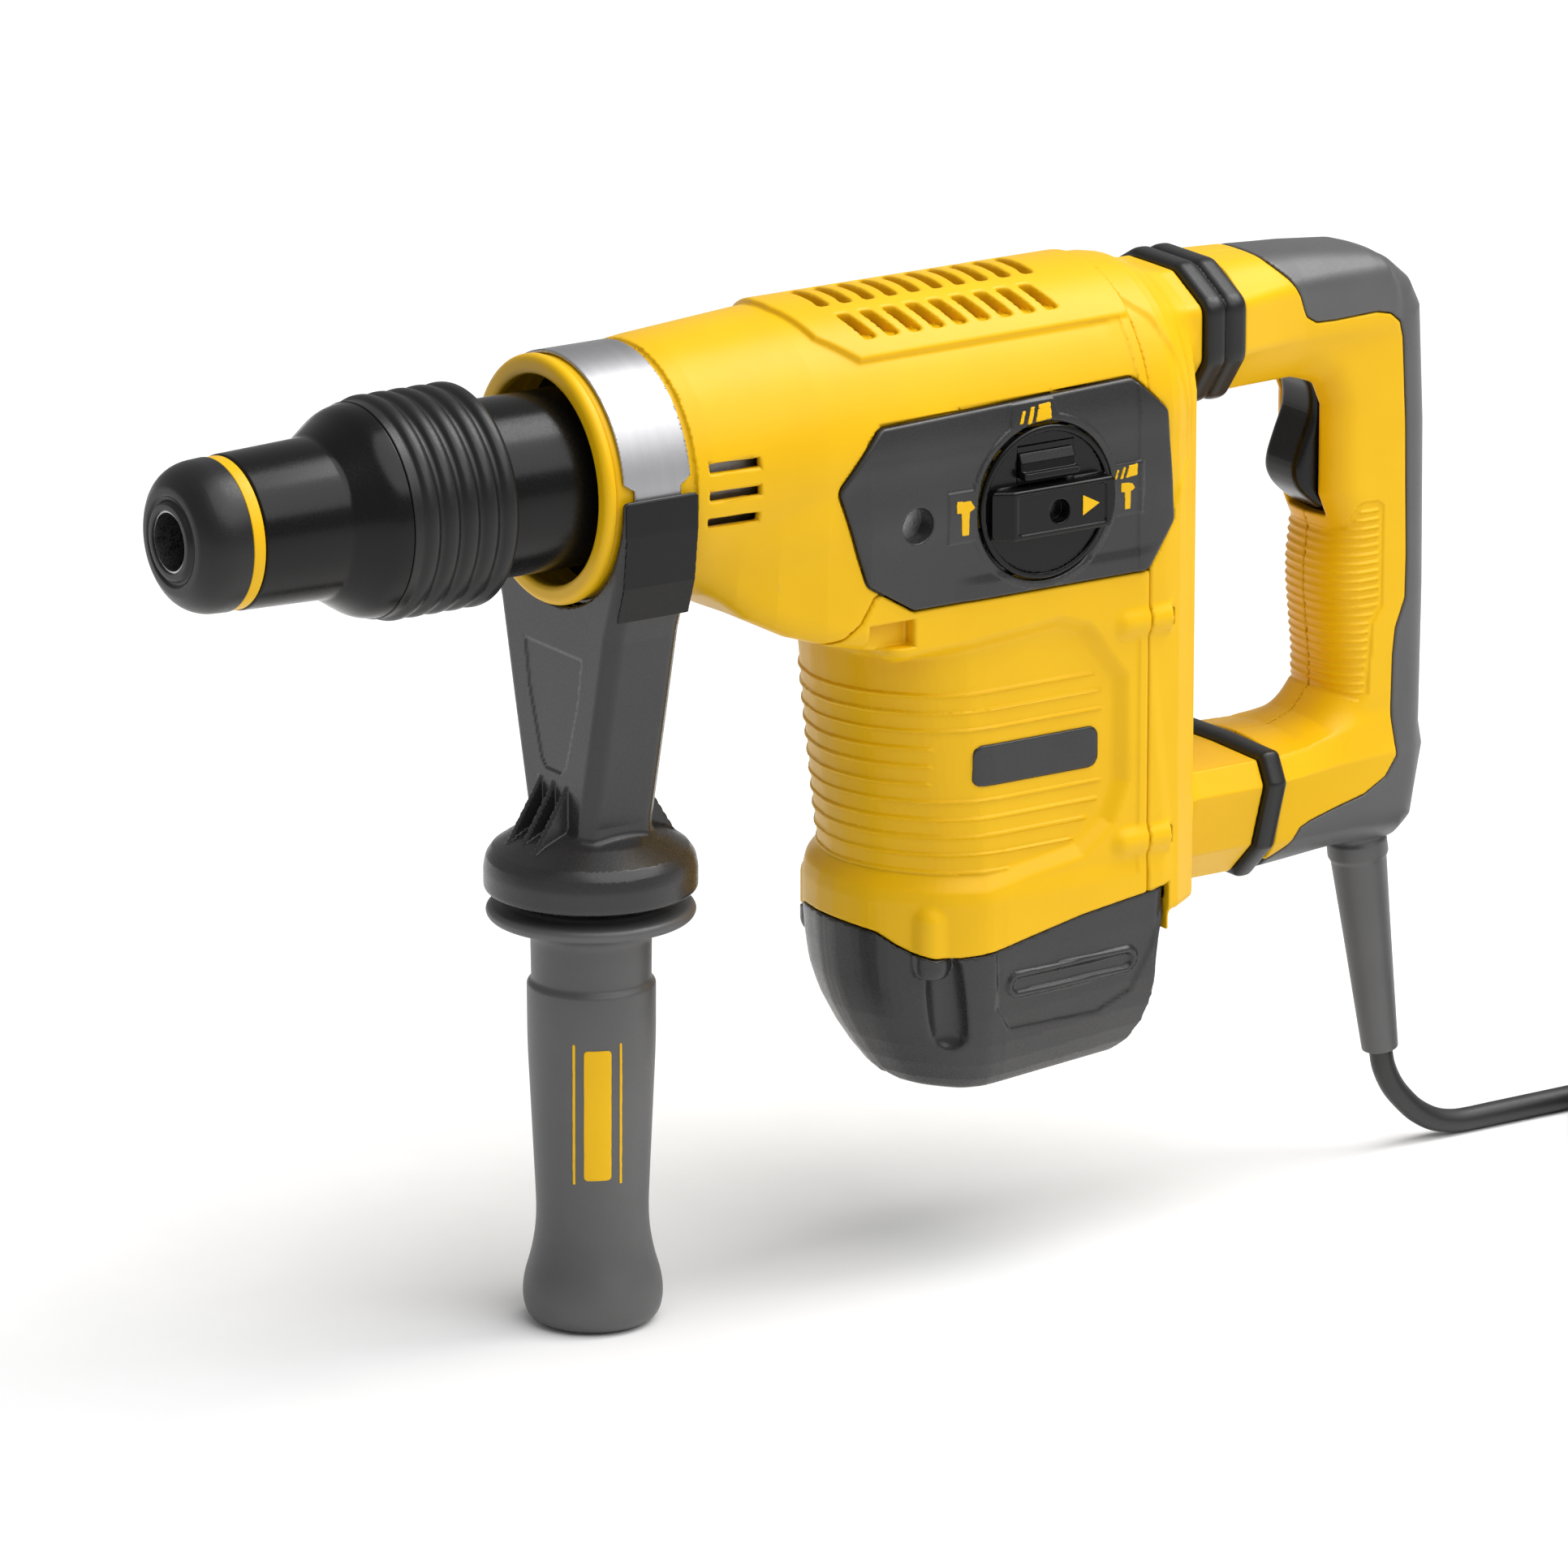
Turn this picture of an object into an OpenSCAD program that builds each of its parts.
// Combination rotary and demolition hammer, millimetres.
// +X points forward out of the nose, +Y to the user's left, +Z up.
// The origin is the centre of the tool holder's mouth.

/* [Chuck] */
// Radius of the bore that takes an 18 mm keyed shank
bore_r = 9.1; // [9:0.05:9.2]
// Depth of the shank bore
bore_len = 92; // [86:1:94]
// Radius over the ribs of the collar
collar_r = 35.2; // [34.8:0.1:36]

/* [Barrel and housings] */
// Radius of the neck that the side handle clamps
neck_r = 38.6; // [38.4:0.1:38.8]
// Radius of the barrel under the vents
barrel_r = 44; // [43.5:0.5:44.5]
// Half width of the housings
half_w = 44; // [43.5:0.5:44.5]
// Wall thickness of the plastic housings
wall = 3; // [2.4:0.2:3]

/* [Side handle] */
// Largest radius of the flange
flange_r = 33; // [31:0.5:34]
// Height of the grip's lowest point
grip_bottom = -277.5; // [-280:0.5:-272]

/* [Rear handle] */
// Half width of the rear grip
grip_half_w = 19; // [18:0.5:20]

/* [Mains lead] */
// Diameter of the lead
cord_d = 8; // [7.6:0.2:8.4]

/* [Hidden] */
$fn = 72;
fit = 0.05;                  // radial clearance of a running fit
yellow = [0.96, 0.74, 0.05];
dark = [0.2, 0.2, 0.21];
black = [0.06, 0.06, 0.065];
steel = [0.72, 0.73, 0.75];
copper = [0.75, 0.42, 0.2];

// Stations along the barrel
ring_front = -132.4;         // yellow front ring
neck_front = -136;           // the clamping neck runs from here
neck_back = -165;            // to here
seam_x = -333;               // joint between the front and rear housings
column_back = -357;          // rear face of the rear housing
side_x = -150.7;             // axis of the side handle
strap_w = 24.4;              // width of the steel strap

// Drive train: the axes of the motor, crank and pinion shafts stand on the barrel's centre line
motor_x = -294;
crank_x = -262;
pinion_x = -214;
crank_e = 14;                // crank radius
stroke_mid = -218;           // wrist pin at mid-stroke
gear_z = [-36, -30];         // the spur gears' faces
floor_z = [-44, -38];        // bearing floor of the gear case
bearing_z = [-43.5, -39];    // the shafts' lower bearings
crown_teeth = 24;
pinion_teeth = 9;
crank_teeth = 56;
idler_teeth = 40;
motor_teeth = 8;

// Levels of the motor and its housings
motor_top = -48.5;
cap_top = -162;
cap_bottom = -217;

// Selector on the left side
knob_x = -291.5;
knob_z = -20;

// Rear handle
arm_front = -364;            // end of the rear housing's upper arm
arm_back = -380.5;           // start of the handle's upper arm
low_arm_front = -390;
low_arm_back = -398.3;
pivot = [-394, -142];        // the handle tilts about this point
trigger_pivot = [-426, -8];
over_skin = 2.6;             // thickness of the soft overmould

// Mains lead, as points on its centre line
lead_route = [
    [-459.7, 0, -243.2], [-461, 0, -249], [-464.5, 0, -256], [-469.5, 0, -262],
    [-475, 0, -267], [-482, 0, -271], [-489.5, 0, -273], [-496, 0, -273.5],
    [-506, 0, -273.5], [-518, 0, -273.5], [-532, 0, -273.5], [-546, 0, -273.5],
    [-560, 0, -273.5]
];
coil_centre = [-584, 60];
coil_turn_r = 48;            // mean radius of the turns
coil_columns = 4;
coil_layers = 3;
plug_r = 19;

// ---------- helpers ----------

// Solid of revolution about the barrel axis from [x, radius] points
module turned_x(points) {
    rotate([0, 90, 0]) rotate_extrude() polygon([for (p = points) [p[1], p[0]]]);
}

// Tube about the barrel axis
module tube_x(x0, x1, r_out, r_in) {
    turned_x([[x0, r_in], [x0, r_out], [x1, r_out], [x1, r_in]]);
}

// Tube about a vertical axis
module tube_z(z0, z1, r_out, r_in) {
    rotate_extrude() polygon([[r_in, z0], [r_out, z0], [r_out, z1], [r_in, z1]]);
}

// Prism along X from a section in [y, z]
module along_x(x0, x1) {
    translate([x0, 0, 0]) rotate([90, 0, 90]) linear_extrude(x1 - x0) children();
}

// Prism along Y from a side view in [x, z]
module along_y(y0, y1) {
    translate([0, y1, 0]) rotate([90, 0, 0]) linear_extrude(y1 - y0) children();
}

// Prism along Z from a plan in [x, y]
module along_z(z0, z1) {
    translate([0, 0, z0]) linear_extrude(z1 - z0) children();
}

// Box between two corners
module block(a, b) {
    translate(a) cube(b - a);
}

module both_sides() {
    children();
    mirror([0, 1, 0]) children();
}

// Both halves of a symmetrical outline: the given points, then their mirror image in reverse
function mirrored(points) = concat(points, [for (i = [len(points) - 1:-1:0]) [points[i][0], -points[i][1]]]);

function turned_outline(points) = concat(points, [for (i = [len(points) - 1:-1:0]) [-points[i][0], points[i][1]]]);

function unit(v) = v / norm(v);

// Tube swept along points with round rings that stay square to the path; across is a direction it never runs in
module swept(path, r, sides, across) {
    n = len(path);
    tangent = [for (i = [0:n - 1]) unit(path[min(i + 1, n - 1)] - path[max(i - 1, 0)])];
    side = [for (t = tangent) unit(cross(t, across))];
    rings = [for (i = [0:n - 1]) for (k = [0:sides - 1])
        path[i] + r * (cos(360 * k / sides) * side[i] + sin(360 * k / sides) * cross(tangent[i], side[i]))];
    walls = [for (i = [0:n - 2]) for (k = [0:sides - 1])
        [i * sides + k, i * sides + (k + 1) % sides, (i + 1) * sides + (k + 1) % sides, (i + 1) * sides + k]];
    ends = [[for (k = [sides - 1:-1:0]) k], [for (k = [0:sides - 1]) (n - 1) * sides + k]];
    polyhedron(rings, concat(walls, ends), convexity = 4);
}

// Coil spring about the barrel axis, centred at height z
module spring_x(x0, x1, r, wire, turns, z = 0) {
    steps = turns * 12;
    swept([for (i = [0:steps]) [x0 + (x1 - x0) * i / steps, r * cos(i * 30), z + r * sin(i * 30)]], wire, 6, [1, 0, 0]);
}

// Spur gear outline with straight-flanked teeth and room for backlash; the first tooth points at angle phase
module gear_outline(teeth, module_mm, phase) {
    pitch_r = teeth * module_mm / 2;
    root = pitch_r - 1.1 * module_mm;
    tip = pitch_r + 0.7 * module_mm;
    wide = 0.78 * module_mm;
    thin = 0.25 * module_mm;
    polygon([for (i = [0:teeth - 1]) for (c = [[root, -wide], [tip, -thin], [tip, thin], [root, wide]])
        let (a = phase + i * 360 / teeth + c[1] / c[0] * 180 / PI) [c[0] * cos(a), c[0] * sin(a)]]);
}

// ---------- chuck ----------

module nose_cap() {
    color(black) turned_x([
        [0, 11.3], [0, 14.5], [-1.2, 18], [-3.4, 20.6], [-7, 22.7], [-11, 23.8], [-16, 24],
        [-16, 15.6], [-4.4, 15.6], [-4.4, 11.3]
    ]);
}

module nose_ring() {
    color(yellow) tube_x(-16.1, -19.3, 23.9, 15.6);
}

module tool_holder() {
    color(steel) difference() {
        turned_x([
            [0, bore_r], [0, 11.2], [-4.5, 11.2], [-4.5, 15.5], [-104, 15.5], [-104, 24], [-166, 24],
            [-166, 20], [-150, 20], [-150, 13], [-bore_len, 13], [-bore_len, bore_r]
        ]);
        roller_places(3.05, 12.3);
    }
}

module roller_places(r, length) {
    for (side = [-1, 1]) translate([-52, side * 12.3, 0]) rotate([0, 90, 0]) cylinder(r = r, h = length, center = true);
}

module locking_rollers() {
    color(steel) roller_places(3, 12);
}

module locking_sleeve() {
    color(black) turned_x([
        [-19.8, 24.3], [-50.7, 25.2], [-70, 33], [-103.6, 33], [-103.6, 30], [-68, 30], [-54, 20],
        [-52, 17], [-19.8, 17]
    ]);
}

module sleeve_grip() {
    ribs = 5;
    pitch = 7;
    first = -69.5;
    color(black) turned_x(concat(
        [[first, 33.05], [first, 33.6]],
        [for (i = [0:ribs - 1]) each [
            [first - i * pitch - 0.9, collar_r - 1.4], [first - i * pitch - 2.4, collar_r],
            [first - i * pitch - 5, collar_r], [first - i * pitch - 6.5, collar_r - 1.4]
        ]],
        [[first - ribs * pitch + 0.4, 33.05]]
    ));
}

module sleeve_spring() {
    color(steel) spring_x(-57, -98, 17.8, 1.1, 5);
}

// ---------- impact mechanism ----------

module cylinder_tube() {
    color(steel) tube_x(-150.1, -232, 19.98, 16);
}

module beat_piece() {
    color(steel) turned_x([
        [-101, 0], [-101, 8], [-102, 9], [-118, 9], [-120, 13 - fit], [-140, 13 - fit], [-142, 8], [-150, 8], [-150, 0]
    ]);
}

module ram() {
    color(steel) turned_x([
        [-164, 0], [-164, 8], [-170, 8], [-170, 16 - fit], [-192, 16 - fit], [-192, 0]
    ]);
}

module piston() {
    color(steel) difference() {
        turned_x([[-206, 0], [-206, 16 - fit], [-226, 16 - fit], [-226, 12], [-211, 12], [-211, 0]]);
        wrist_pin_bore();
    }
}

module wrist_pin_bore() {
    translate([stroke_mid, 0, 0]) rotate([90, 0, 0]) cylinder(r = 3, h = 40, center = true);
}

module wrist_pin() {
    color(steel) translate([stroke_mid, 0, 0]) rotate([90, 0, 0]) cylinder(r = 2.98, h = 29, center = true);
}

module connecting_rod() {
    color(steel) difference() {
        union() {
            translate([stroke_mid, 0, 0]) rotate([90, 0, 0]) cylinder(r = 6, h = 9, center = true);
            translate([crank_x, 0, 0]) cylinder(r = 9, h = 9, center = true);
            block([crank_x + 6, -4, -4], [stroke_mid - 3, 4, 4]);
        }
        wrist_pin_bore();
        translate([crank_x, 0, 0]) cylinder(r = 5.1, h = 20, center = true);
    }
}

// The crankpin ends just under the rod's eye: that pivot is left open so that both can move on their own
module crank_gear() {
    color(steel) translate([crank_x, 0, 0]) {
        along_z(gear_z[0], gear_z[1]) gear_outline(crank_teeth, 1, 180);
        translate([0, 0, floor_z[0]]) cylinder(r = 6, h = 10);
        translate([0, crank_e, gear_z[1] - 0.5]) cylinder(r = 5, h = 24.5);
        translate([0, 0, gear_z[1] - 0.5]) cylinder(r = 20, h = 2.5);
    }
}

module bevel_pinion() {
    color(steel) translate([pinion_x, 0, 0]) {
        along_z(gear_z[0], gear_z[1]) gear_outline(idler_teeth, 1, 180 + 180 / idler_teeth);
        translate([0, 0, floor_z[0]]) cylinder(r = 5, h = 18);
        along_z(-27, -21) gear_outline(pinion_teeth, 2, 0);
    }
}

// Crown gear on the cylinder: teeth stand on its rear face, with a gap at the pinion's first tooth
module bevel_gear() {
    face = pinion_x + 9 + 2.2;
    tooth = 5.4;
    color(steel) difference() {
        union() {
            tube_x(face, -193, 28, 19);
            for (i = [0:crown_teeth - 1]) rotate([i * 360 / crown_teeth + 180 / crown_teeth, 0, 0])
                along_x(face - 3.6, face + 0.1) crown_tooth(21.4, 27, tooth);
        }
        tube_x(-150, -240, 20, 0);
    }
}

module crown_tooth(r0, r1, width) {
    polygon([for (c = [[r0, -1], [r1, -1], [r1, 1], [r0, 1]])
        [c[0] * sin(c[1] * width / 2), -c[0] * cos(c[1] * width / 2)]]);
}

// ---------- motor ----------

module armature() {
    color(steel) translate([motor_x, 0, 0]) {
        translate([0, 0, -184]) cylinder(r = 4, h = 184 + gear_z[0] - 0.4);
        translate([0, 0, -132]) cylinder(r = 20.5, h = 48);
        along_z(gear_z[0] - 0.5, gear_z[1] + 1) gear_outline(motor_teeth, 1, 180 / motor_teeth);
        for (z = [-140, -83]) translate([0, 0, z]) cylinder(r1 = 15, r2 = 18, h = 7);
    }
}

module commutator() {
    color(copper) translate([motor_x, 0, 0]) difference() {
        tube_z(-164, -146, 12, 4);
        for (a = [0:20:340]) rotate([0, 0, a]) block([11, -0.4, -165], [13, 0.4, -147]);
    }
}

module fan() {
    color(dark) translate([motor_x, 0, 0]) {
        tube_z(-74, -62, 8, 4);
        tube_z(-64, -62, 30, 7);
        for (a = [0:40:320]) rotate([0, 0, a]) block([7.5, -0.8, -73], [29, 0.8, -63]);
    }
}

module stator() {
    color(steel) translate([motor_x, 0, 0]) {
        tube_z(-134, -82, 34, 26);
        for (side = [0, 180]) rotate([0, 0, side]) intersection() {
            tube_z(-132, -84, 27, 21.2);
            block([15, -18, -133], [28, 18, -83]);
        }
    }
}

module motor_bearings() {
    color(steel) translate([motor_x, 0, 0]) {
        tube_z(bearing_z[0], bearing_z[1], 12, 4 + fit);
        tube_z(-183, -176, 11, 4 + fit);
    }
}

module brush_holders() {
    color(copper) both_sides() difference() {
        block([motor_x - 5, 15, -161], [motor_x + 5, 33, -149]);
        block([motor_x - 3.2, 14, -159.2], [motor_x + 3.2, 34, -150.8]);
    }
}

module brushes() {
    color(black) both_sides() block([motor_x - 3.1, 12.4, -159.1], [motor_x + 3.1, 26, -150.9]);
}

// ---------- bearings of the spindle and shafts ----------

module front_tube() {
    color(black) {
        tube_x(-100, -158, 28.2, 26);
        tube_x(-150, -156, neck_r - wall, 28);
    }
}

module shaft_seal() {
    color(black) tube_x(-105, -110, 25.95, 24 + fit);
}

module needle_bearing() {
    color(steel) tube_x(-114, -130, 25.95, 24 + fit);
}

module spindle_bearing() {
    color(steel) tube_x(-172, -186, 31.95, 20 + fit);
}

module crank_bearing() {
    color(steel) translate([crank_x, 0, 0]) tube_z(bearing_z[0], bearing_z[1], 13, 6 + fit);
}

module pinion_bearing() {
    color(steel) translate([pinion_x, 0, 0]) tube_z(bearing_z[0], bearing_z[1], 10, 5 + fit);
}

// ---------- casings ----------

module front_ring() {
    color(yellow) turned_x([
        [ring_front - 1, 33], [ring_front, 34.5], [ring_front, 38], [ring_front - 1.2, 39.5], [neck_front, 39.5], [neck_front, 33]
    ]);
}

// Gear case section: round on top, square below
module case_section(inset) {
    circle(r = 39 - inset);
    translate([inset - 38.5, -floor_depth(inset)]) square([77 - 2 * inset, floor_depth(inset)]);
}

function floor_depth(inset) = inset > 0 ? -floor_z[1] : -floor_z[0];

module gear_case() {
    color(steel) difference() {
        union() {
            tube_x(-169, -197, 36, 0);
            intersection() {
                along_x(-322, -196) case_section(0);
                along_y(-60, 60) union() {
                    belly(wall + 0.4);
                    translate([-322, -1]) square([126, 41]);
                }
            }
        }
        tube_x(-160, -187, 32, 0);
        tube_x(-186, -200, 30, 0);
        along_x(-323, -193) case_section(3);
        translate([pinion_x, 0, -50]) cylinder(r = 10.02, h = 20);
        translate([crank_x, 0, -50]) cylinder(r = 13.02, h = 20);
        translate([motor_x, 0, -50]) cylinder(r = 12.02, h = 20);
    }
}

// Front housing section: round on top, flat sides, chamfered foot
module body_section(inset) {
    w = half_w - inset;
    circle(r = barrel_r - inset);
    polygon(turned_outline([[w, 0], [w, -50], [w - 5, -62]]));
}

// Side view of the belly under the barrel; its lower rear edge slants up to the top of the motor housing
module belly(inset) {
    polygon([
        [-192 - inset, 0], [-192 - inset, -40 + inset], [-206 - inset, -52 + inset], [-232, -61 + inset],
        [-243, motor_top - inset], [seam_x - inset, motor_top - inset], [seam_x - inset, 0]
    ]);
}

module barrel(inset) {
    turned_x([
        [neck_front - inset, 0], [neck_front - inset, neck_r - inset], [neck_back - inset, neck_r - inset],
        [neck_back - inset, 40.3 - inset], [-170 - inset, 41 - inset], [-212, barrel_r - 0.2 - inset],
        [-240, barrel_r - inset], [seam_x - inset, barrel_r - inset], [seam_x - inset, 0]
    ]);
}

module gear_housing() {
    color(yellow) difference() {
        union() {
            barrel(0);
            intersection() {
                along_x(seam_x, -190) body_section(0);
                along_y(-60, 60) belly(0);
            }
        }
        barrel(wall);
        intersection() {
            along_x(seam_x - 1, -190) body_section(wall);
            along_y(-60, 60) belly(wall);
        }
        tube_x(-130, -140, 35, 0);
        vent_slots();
        side_slots();
        translate([knob_x, 0, knob_z]) rotate([-90, 0, 0]) cylinder(r = 5.4, h = 60);
    }
}

module vent_slots() {
    for (i = [0:10]) both_sides() block([-229 - i * 8.3, 3.5, 30], [-225.4 - i * 8.3, 20, 50]);
}

module side_slots() {
    for (z = [-10.6, -1.9, 6.8]) both_sides() block([-188, 30, z - 1.5], [-169, 60, z + 1.5]);
}

// Plan of the motor housing: flat sides with a rounded front
function motor_plan(inset) = mirrored([
    [seam_x, half_w - inset], [-268, half_w - inset], [-255 - inset / 2, 34 - inset / 2],
    [-245 - inset, 18], [-241.5 - inset, 6]
]);

module motor_housing() {
    color(yellow) difference() {
        union() {
            along_z(cap_top, motor_top - 0.3) polygon(motor_plan(0));
            screw_places([-320, seam_x], 5.6);
        }
        along_z(cap_top - 1, motor_top + 1) polygon(motor_plan(wall));
        screw_places([-315, seam_x - 1], 2.2);
        block([seam_x - 1, -41, -160], [-331, 41, motor_top + 1]);
        along_y(-60, 60) polygon([[-200, -30], [-243.3, -48], [-232.3, -61.3], [-200, -62]]);
    }
}

// Four housing screws run along X through bosses beside the seam
module screw_places(x, r) {
    for (z = [-65.5, -138]) both_sides() translate([x[1], 40, z]) rotate([0, 90, 0]) cylinder(r = r, h = x[0] - x[1]);
}

module housing_screws() {
    color(steel) {
        screw_places([-317, -340], 2);
        screw_places([-336.5, -340], 4);
    }
}

function column_plan(inset) = mirrored([
    [seam_x - 0.1 + inset, half_w - inset], [-346, half_w - 1 - inset], [column_back + inset, 36 - inset]
]);

module column_section(inset) {
    w = half_w - inset;
    circle(r = barrel_r - inset);
    polygon(turned_outline([[w, 0], [w, cap_top + 4 + inset], [w - 12, cap_top + inset]]));
}

module upper_arm_section(inset) {
    w = 29.5 - inset;
    polygon(turned_outline([[12, 40.5 - inset], [w, 29], [w, 12], [w - 9, -5 + inset]]));
}

module lower_arm_section(inset) {
    w = 29 - inset;
    polygon(turned_outline([[w - 4, -125 - inset], [w, -133], [w - 6, -154], [w - 18, -166 + inset]]));
}

module rear_housing() {
    color(yellow) difference() {
        union() {
            intersection() {
                along_z(-170, 50) polygon(column_plan(0));
                along_x(-360, -330) column_section(0);
            }
            along_x(arm_front, -345) upper_arm_section(0);
            along_x(low_arm_front, -345) lower_arm_section(0);
            intersection() {
                screw_places([seam_x - 0.1, -342], 5.6);
                along_x(-342, seam_x - 0.1) square([120, 400], center = true);
            }
        }
        intersection() {
            along_z(-170, 50) polygon(column_plan(wall));
            along_x(-360, -330) column_section(wall);
        }
        block([-337, -41, -158], [seam_x + 1, 41, 20]);
        along_x(arm_front + wall, -350) upper_arm_section(wall);
        along_x(low_arm_front + 8, -350) lower_arm_section(wall);
        screw_places([-330, -345], 2.2);
        screw_places([-336.4, -345], 4.1);
        block([low_arm_front - 1, -13, -160], [low_arm_front + 9, 13, -124.9 - wall]);
    }
    color(yellow) both_sides() difference() {
        along_y(13.1, 17) union() {
            translate(pivot) circle(r = 7);
            translate([pivot[0], pivot[1] - 7]) square([12, 14]);
        }
        translate([pivot[0], 0, pivot[1]]) rotate([-90, 0, 0]) cylinder(r = 4, h = 30);
    }
}

module cap_form(inset) {
    hull() {
        along_z(cap_top - 14, cap_top - 0.3 + (inset > 0 ? 1 : 0)) polygon(motor_plan(inset));
        along_z(-192 + inset, -190 + inset) polygon(mirrored([
            [-331 + inset, 39 - inset], [-270, 40 - inset], [-256 - inset, 24]
        ]));
        along_z(cap_bottom + inset, cap_bottom + 1 + inset) polygon(mirrored([
            [-322 + inset, 27 - inset], [-276, 27 - inset], [-268 - inset, 14]
        ]));
    }
}

module motor_end_cap() {
    color(dark) {
        difference() {
            cap_form(0);
            cap_form(wall);
            block([seam_x - 1, -35, -175], [-328, 35, cap_top + 1]);
        }
        translate([motor_x, 0, 0]) difference() {
            translate([0, 0, cap_bottom + wall - 0.2]) cylinder(r = 14, h = 37);
            translate([0, 0, -186]) cylinder(r = 11.02, h = 20);
        }
    }
}

// ---------- selector ----------

module selector_plate() {
    color(dark) difference() {
        along_y(half_w + 0.1, half_w + 1.6) polygon([
            [-231, 12.5], [-216.3, -6.2], [-226.7, -37.9], [-243.5, -47.8], [-331.6, -47.7],
            [-341.6, -33.5], [-338.6, 3.6], [-326.6, 15.6]
        ]);
        translate([knob_x, 0, knob_z]) rotate([-90, 0, 0]) cylinder(r = 25.5, h = 60);
        translate([-243.7, 0, knob_z - 1]) rotate([-90, 0, 0]) cylinder(r = 4.7, h = 60);
    }
}

module selector_knob() {
    color(black) translate([knob_x, half_w + 0.4, knob_z]) difference() {
        union() {
            rotate([-90, 0, 0]) cylinder(r = 24.9, h = 2.6);
            block([-20, 2, -10], [22, 7.4, 6.5]);
        }
        rotate([-90, 0, 0]) translate([-2, 2, 4]) cylinder(r = 4, h = 10);
        block([-10.8, 1, 6.5], [10.8, 9, 19]);
    }
}

module selector_shaft() {
    color(steel) translate([knob_x, 39.2, knob_z]) rotate([-90, 0, 0]) cylinder(r = 5, h = half_w - 39.2 + 0.3);
}

module selector_lock() {
    color(black) translate([knob_x, half_w + 0.4, knob_z]) block([-10.5, 1.2, 8.7], [10.5, 5.6, 17.2]);
}

// ---------- rear handle ----------

// Outline of the whole handle seen from the left
handle_outline = [
    [arm_back, 40], [-396, 38.6], [-440, 35], [-454, 30], [-462.5, 19], [-466, -24], [-466.5, -80],
    [-466, -135], [-463, -156], [-458, -164], [-432, -162], [low_arm_back, -165],
    [low_arm_back, -125], [-415, -125], [-424, -120], [-426.5, -108], [-424.5, -84], [-425.5, -60],
    [-422, -46], [-421, -14], [-413, -4], [arm_back, -4]
];

// The stretch of it that the soft overmould covers
over_zone = [
    [-396, 45], [-406, 33], [-411, 16], [-440, 16.5], [-450, 8], [-452, -74], [-447, -92], [-447, -132],
    [-440, -142], [-410, -150], [-404, -155], [-397, -165.5], [-397, -172], [-480, -172], [-480, 45]
];

// Solid inside the overmould: the zone's outline drawn in from the back by the skin
handle_core = [
    [-400, 35.4], [-439, 32.4], [-452.4, 27.6], [-459.8, 17.6], [-463.4, -24], [-463.9, -80],
    [-463.4, -134], [-460.6, -154], [-456, -161], [-432, -159.2], [-402, -160], [-402, -140],
    [-430, -135], [-430, 0], [-402, 10]
];

module handle_solid() {
    difference() {
        union() {
            along_y(0, grip_half_w) difference() {
                polygon(handle_outline);
                polygon(over_zone);
            }
            along_y(0, grip_half_w - over_skin) intersection() {
                polygon(handle_core);
                polygon(handle_outline);
            }
            intersection() {
                along_x(-394, arm_back) upper_arm_section(0.5);
                block([-400, 0, -10], [-380, 40, 50]);
            }
            intersection() {
                along_x(-410, low_arm_back) lower_arm_section(0.5);
                block([-412, 0, -149], [-390, 40, -120]);
            }
            block([pivot[0] - 6, 0, pivot[1] - 6], [pivot[0] + 5, 12.7, pivot[1] + 6]);
        }
        block([-461, -1, -66], [-432, 13.5, 8]);
        block([-440, -1, -58], [-400, 9.9, -5]);
        block([-404, 12.7, pivot[1] - 9], [-390, 17.6, pivot[1] + 9]);
        translate([pivot[0], -1, pivot[1]]) rotate([-90, 0, 0]) cylinder(r = 4, h = 40);
        translate([trigger_pivot[0], -1, trigger_pivot[1]]) rotate([-90, 0, 0]) cylinder(r = 2, h = 15);
        translate([-448.7, 0, -170]) rotate([0, 8.4, 0]) cylinder(r = 9.1, h = 30);
    }
}

module handle_left() {
    color(yellow) handle_solid();
}

module handle_right() {
    color(yellow) mirror([0, 1, 0]) handle_solid();
}

module handle_overmould() {
    color(dark) difference() {
        along_y(-grip_half_w, grip_half_w) intersection() {
            polygon(handle_outline);
            polygon(over_zone);
        }
        along_y(over_skin - grip_half_w - 0.02, grip_half_w - over_skin + 0.02) intersection() {
            polygon(handle_core);
            polygon(handle_outline);
        }
        both_sides() along_x(-411, -390) lower_arm_section(0.5);
        translate([-448.7, 0, -170]) rotate([0, 8.4, 0]) cylinder(r = 9.1, h = 30);
    }
}

module switch_body() {
    color(dark) block([-459, -12, -62], [-441, 12, 4]);
}

module trigger_pin() {
    color(steel) translate([trigger_pivot[0], 0, trigger_pivot[1]]) rotate([90, 0, 0]) cylinder(r = 1.98, h = 27, center = true);
}

module trigger() {
    color(black) difference() {
        along_y(-9.5, 9.5) polygon([
            [-419.5, -6], [-421, -11], [-421, -21], [-418, -29], [-415.5, -36], [-415.7, -41], [-419, -47],
            [-424, -52.5], [-430, -52.5], [-432, -40], [-432, -8], [-429, -6]
        ]);
        translate([trigger_pivot[0], 0, trigger_pivot[1]]) rotate([90, 0, 0]) cylinder(r = 2.03, h = 30, center = true);
    }
}

module strain_relief() {
    color(dark) translate([-448.7, 0, -170]) rotate([0, 8.4, 0]) {
        cylinder(r = 9, h = 14);
        translate([0, 0, -72.8]) cylinder(r1 = 6.2, r2 = 9.9, h = 77.8);
    }
}

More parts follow.
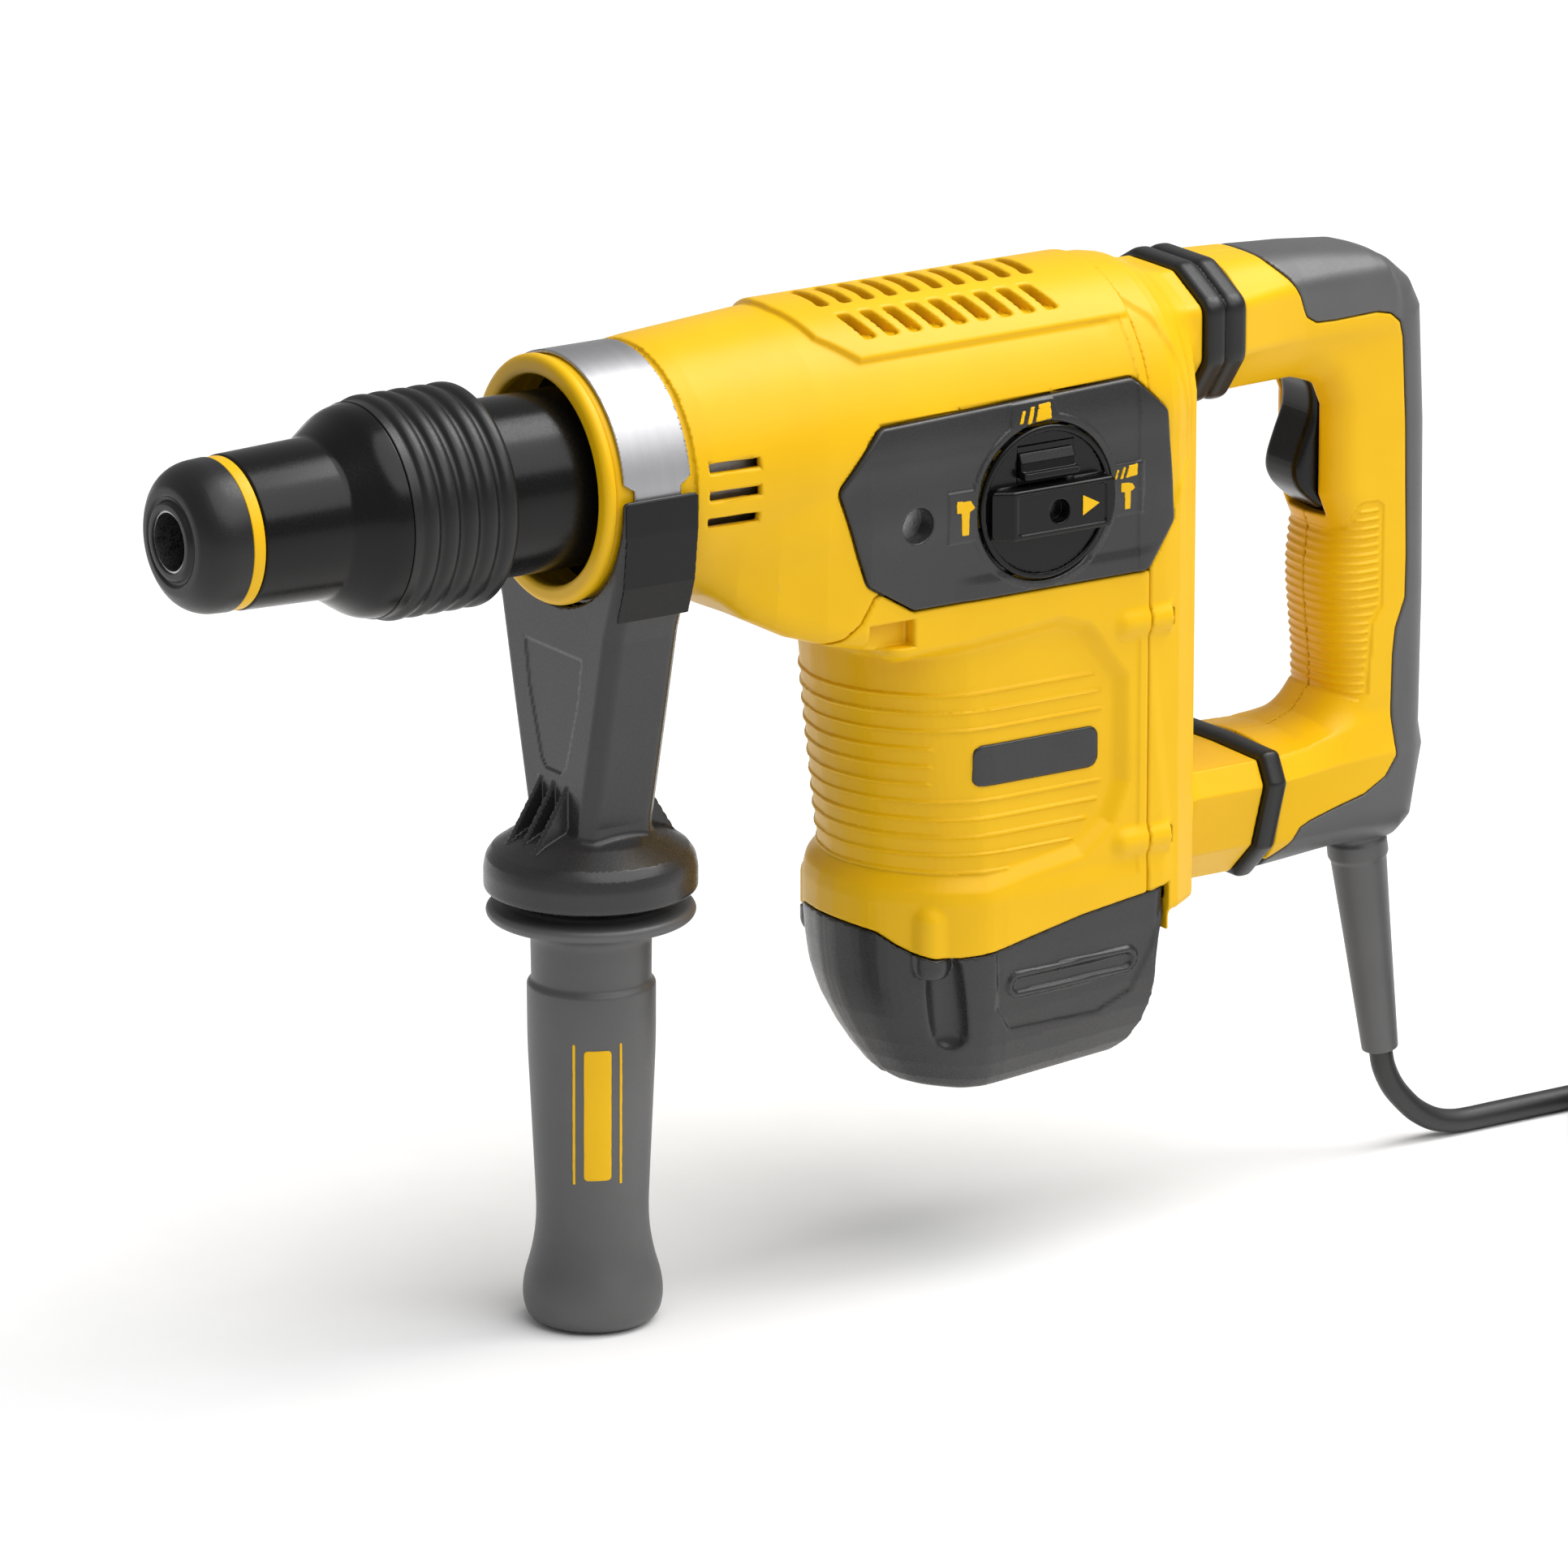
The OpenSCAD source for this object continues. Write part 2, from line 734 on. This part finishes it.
module upper_bellows() {
    width = (arm_front - arm_back) / 2;
    color(black) difference() {
        for (i = [0, 1]) {
            along_x(arm_front - (i + 1) * width + 1, arm_front - i * width - 1) upper_arm_section(-0.6);
            along_x(arm_front - (i + 1) * width + 0.3, arm_front - i * width - 0.3) upper_arm_section(2);
        }
        along_x(arm_back - 1, arm_front + 1) upper_arm_section(5);
    }
}

module lower_bellows() {
    color(black) difference() {
        along_x(low_arm_back + 0.3, low_arm_front - 0.3) lower_arm_section(-0.6);
        along_x(low_arm_back - 1, low_arm_front + 1) lower_arm_section(4.4);
    }
}

module handle_spring() {
    color(steel) spring_x(arm_front - 1.6, arm_back + 1.6, 9, 1.2, 3, 17);
}

module handle_pivot_pin() {
    color(steel) translate([pivot[0], 0, pivot[1]]) rotate([90, 0, 0]) cylinder(r = 3.97, h = 34, center = true);
}

// ---------- side handle ----------

module strap() {
    r_in = neck_r + 0.15;
    r_out = neck_r + 1.55;
    color(steel) difference() {
        union() {
            tube_x(side_x + strap_w / 2, side_x - strap_w / 2, r_out, r_in);
            both_sides() block([side_x - 8.5, 3.2, -58], [side_x + 8.5, 4.6, 0.05 - r_in]);
        }
        crosshead_pin(2.05);
        block([side_x - 20, -3.2, -60], [side_x + 20, 3.2, -30]);
    }
}

module bracket_section() {
    polygon(turned_outline([
        [0.01, -28], [20, -26], [43, 1], [42.5, -10], [38.5, -28], [30, -46], [23, -76], [14, -110], [13, -127]
    ]));
}

module handle_bracket() {
    inner = neck_r + 1.75;
    color(dark) difference() {
        union() {
            along_x(side_x - 13.6, side_x + 13.6) bracket_section();
            translate([side_x, 0, 0]) rotate_extrude() polygon([
                [0, -134.75], [flange_r - 1.5, -134.75], [flange_r, -133.4], [flange_r, -127], [flange_r - 1.2, -125.4],
                [24, -121], [15, -118.5], [0, -118.5]
            ]);
        }
        tube_x(side_x + 20, side_x - 20, inner, 0);
        block([side_x - 9, -5.2, -60.5], [side_x + 9, 5.2, -30]);
        translate([side_x, 0, -140]) cylinder(r = 4.3, h = 100);
    }
}

// The pin that hangs the strap's ends on the bolt's crosshead
module crosshead_pin(r) {
    translate([side_x, 0, -51]) rotate([90, 0, 0]) cylinder(r = r, h = 9.4, center = true);
}

module clamp_bolt() {
    color(steel) translate([side_x, 0, 0]) {
        translate([0, 0, -178]) cylinder(r = 4, h = 120);
        block([-8, -2.9, -60], [8, 2.9, -44]);
    }
    color(steel) crosshead_pin(2);
}

module side_grip() {
    top = -135.3;
    color(dark) translate([side_x, 0, 0]) difference() {
        rotate_extrude() polygon([
            [0, top - 2.5], [25, top - 2.5], [26, top - 3.4], [31, top - 4.4], [32.1, top - 6.2], [31.4, top - 8.4],
            [22, -147.5], [18.4, -154], [18.4, -174.5], [19.6, -176], [19.6, -190], [17.6, -225], [17, -243],
            [18.4, -251], [21.6, -262], [22.4, -270], [21, -275], [17.5, grip_bottom], [0, grip_bottom]
        ]);
        translate([0, 0, -180]) cylinder(r = 4 + fit, h = 60);
        translate([0, 0, -166]) cylinder(r = 8.2, h = 8, $fn = 6);
    }
}

module grip_nut() {
    color(steel) translate([side_x, 0, -165.8]) difference() {
        cylinder(r = 8, h = 7.6, $fn = 6);
        translate([0, 0, -1]) cylinder(r = 4 + fit, h = 10);
    }
}

// ---------- mains lead ----------

module cord_tube() {
    color(dark) swept(lead_route, cord_d / 2, 10, [0, 1, 0]);
}

module cord_coil() {
    half = coil_columns * cord_d / 2;
    color(dark) translate([coil_centre[0], coil_centre[1], grip_bottom]) rotate_extrude() polygon([
        [coil_turn_r - half, 2], [coil_turn_r - half + 2, 0], [coil_turn_r + half - 2, 0], [coil_turn_r + half, 2],
        [coil_turn_r + half, coil_layers * cord_d - 2], [coil_turn_r + half - 2, coil_layers * cord_d],
        [coil_turn_r - half + 2, coil_layers * cord_d], [coil_turn_r - half, coil_layers * cord_d - 2]
    ]);
}

// The plug lies on the coil, along its far side
plug_at = [coil_centre[0], coil_centre[1] + coil_turn_r, grip_bottom + coil_layers * cord_d + plug_r];

module plug_body() {
    color(dark) translate(plug_at) turned_x([
        [22, 0], [22, 17.5], [19, plug_r], [4, plug_r], [-6, 15], [-14, 10], [-30, 6.5], [-30, 0]
    ]);
}

module plug_pins() {
    color(steel) for (side = [-1, 1]) translate(plug_at + [22, side * 9.5, 0])
        turned_x([[0, 0], [0, 2.4], [17.5, 2.4], [19, 1.4], [19, 0]]);
}

nose_cap();
nose_ring();
tool_holder();
locking_rollers();
cylinder_tube();  // cylinder
bevel_gear();
locking_sleeve();
sleeve_grip();
sleeve_spring();
beat_piece();
ram();
piston();
wrist_pin();
connecting_rod();
crank_gear();
bevel_pinion();
armature();
commutator();
fan();
front_tube();
front_ring();
shaft_seal();
needle_bearing();
spindle_bearing();
crank_bearing();
pinion_bearing();
motor_bearings();
stator();
brush_holders();
brushes();
gear_case();
gear_housing();
motor_housing();
rear_housing();
motor_end_cap();
housing_screws();
selector_plate();
selector_knob();
selector_shaft();
selector_lock();
upper_bellows();
lower_bellows();
handle_spring();
handle_pivot_pin();
handle_left();
handle_right();
handle_overmould();
switch_body();
trigger_pin();
trigger();
strain_relief();
strap();
handle_bracket();
clamp_bolt();
side_grip();
grip_nut();
cord_tube();
cord_coil();
plug_body();
plug_pins();
